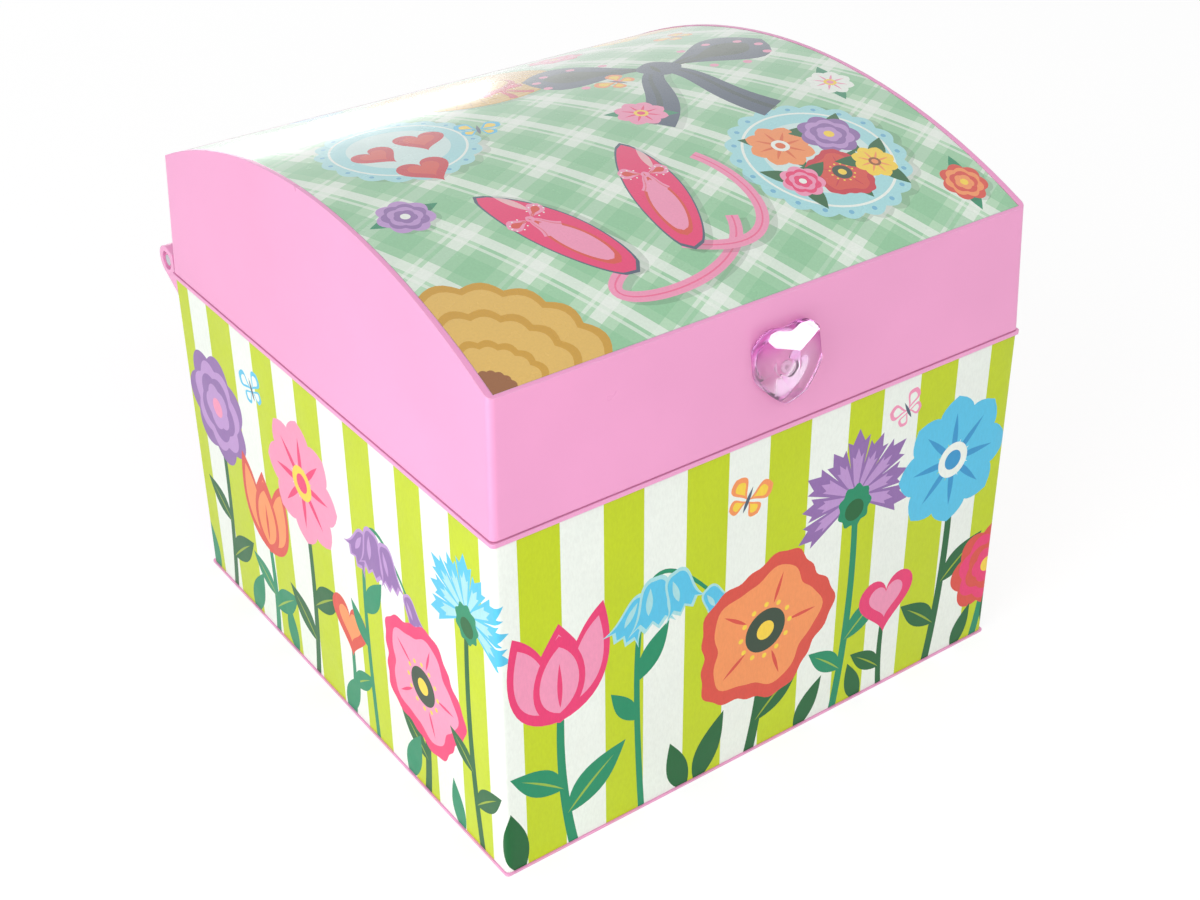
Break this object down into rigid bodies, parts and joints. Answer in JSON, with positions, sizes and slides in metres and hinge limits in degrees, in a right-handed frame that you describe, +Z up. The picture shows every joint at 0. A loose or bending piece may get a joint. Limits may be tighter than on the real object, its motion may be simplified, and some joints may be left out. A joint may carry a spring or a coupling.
{
  "type": "musical ballerina jewellery box",
  "caption": "Square jewellery box with a domed hinged lid, a heart jewel on its front, a fitted tray, a turning dancer under the lid and a wind-up musical movement.",
  "frame": {"origin": "middle of the case's square footprint, on the surface that it stands on", "axes": "+Z up, +Y to the hinged back, -Y out of the front with the heart jewel, +X to the right seen from the front"},
  "size_m": [0.15, 0.1647, 0.139],
  "materials": {
    "case_plastic": "moulded, soft gloss",
    "print_wrap": "glossy print on film",
    "cover_plastic": "moulded, fine texture",
    "steel": "bright",
    "print_sheet": "glossy print on film",
    "gem": "clear, cut and polished",
    "pale_plastic": "moulded, satin",
    "mirror": "silvered",
    "plush": "short pile",
    "felt": "flocked felt",
    "brass": "satin",
    "doll": "moulded and painted",
    "net": "stiff net",
    "cast_bed": "die cast",
    "spring_steel": "blued",
    "comb_steel": "ground"
  },
  "bodies": {
    "case": {"body_shell": "case_plastic", "body_wrap": "print_wrap", "bottom_cover": "cover_plastic", "cover_screws": "steel", "hinge_pin": "steel", "tray": "pale_plastic", "tray_screws": "steel", "ring_roll_1": "plush", "ring_roll_2": "plush", "ring_roll_3": "plush", "ring_roll_4": "plush", "ring_roll_5": "plush", "side_felt_left": "felt", "side_felt_right": "felt", "stage_felt": "felt", "stage_bush": "brass", "bedplate": "cast_bed", "movement_screws": "steel", "comb": "comb_steel", "comb_screws": "steel", "governor_bracket": "cast_bed", "stop_spring": "steel"},
    "lid": {"lid_shell": "case_plastic", "lid_sheet": "print_sheet", "heart_jewel": "gem", "jewel_clip": "steel", "mirror_panel": "pale_plastic", "mirror_glass": "mirror", "panel_screws": "steel"},
    "dancer_spindle": {"spindle": "steel", "spindle_gear": "brass", "turntable": "pale_plastic", "dancer_spring": "steel", "dancer": "doll", "tutu": "net"},
    "barrel": {"spring_barrel": "brass", "mainspring": "spring_steel"},
    "winder": {"winding_arbor": "steel", "winding_key": "brass"},
    "drum": {"cylinder": "brass", "cylinder_arbor": "steel", "cylinder_pinion": "steel", "worm_wheel": "brass"},
    "governor": {"governor_worm": "steel", "governor_fan": "brass"},
    "button": {"stop_button": "steel"}
  },
  "joints": [
    {"name": "lid_hinge", "type": "hinge", "parent": "case", "child": "lid", "pos_m": [0, 0.08, 0.091], "axis": [-1, 0, 0], "range_deg": [0, 100]},
    {"name": "drum_turn", "type": "hinge", "parent": "case", "child": "drum", "pos_m": [-0.018, 0, 0.03285], "axis": [0, 1, 0], "continuous": true},
    {"name": "barrel_turn", "type": "hinge", "parent": "case", "child": "barrel", "pos_m": [-0.018, 0.0199, 0], "axis": [0, 0, 1], "continuous": true},
    {"name": "dancer_turn", "type": "hinge", "parent": "case", "child": "dancer_spindle", "pos_m": [0, 0.0199, 0], "axis": [0, 0, 1], "continuous": true},
    {"name": "governor_turn", "type": "hinge", "parent": "case", "child": "governor", "pos_m": [-0.01, 0.059, 0], "axis": [0, 0, 1], "continuous": true},
    {"name": "key_turn", "type": "hinge", "parent": "case", "child": "winder", "pos_m": [-0.018, 0.0199, 0], "axis": [0, 0, 1], "continuous": true},
    {"name": "button_slide", "type": "slide", "parent": "case", "child": "button", "axis": [0, 0, 1], "range_m": [0, 0.0025], "deforming": ["stop_spring"]}
  ],
  "couplings": [
    {"joint": "barrel_turn", "follows": "drum_turn", "ratio": 0.33333},
    {"joint": "dancer_turn", "follows": "drum_turn", "ratio": -0.66667},
    {"joint": "governor_turn", "follows": "drum_turn", "ratio": 16},
    {"joint": "button_slide", "follows": "lid_hinge", "m_per_rad": 0.00143}
  ]
}
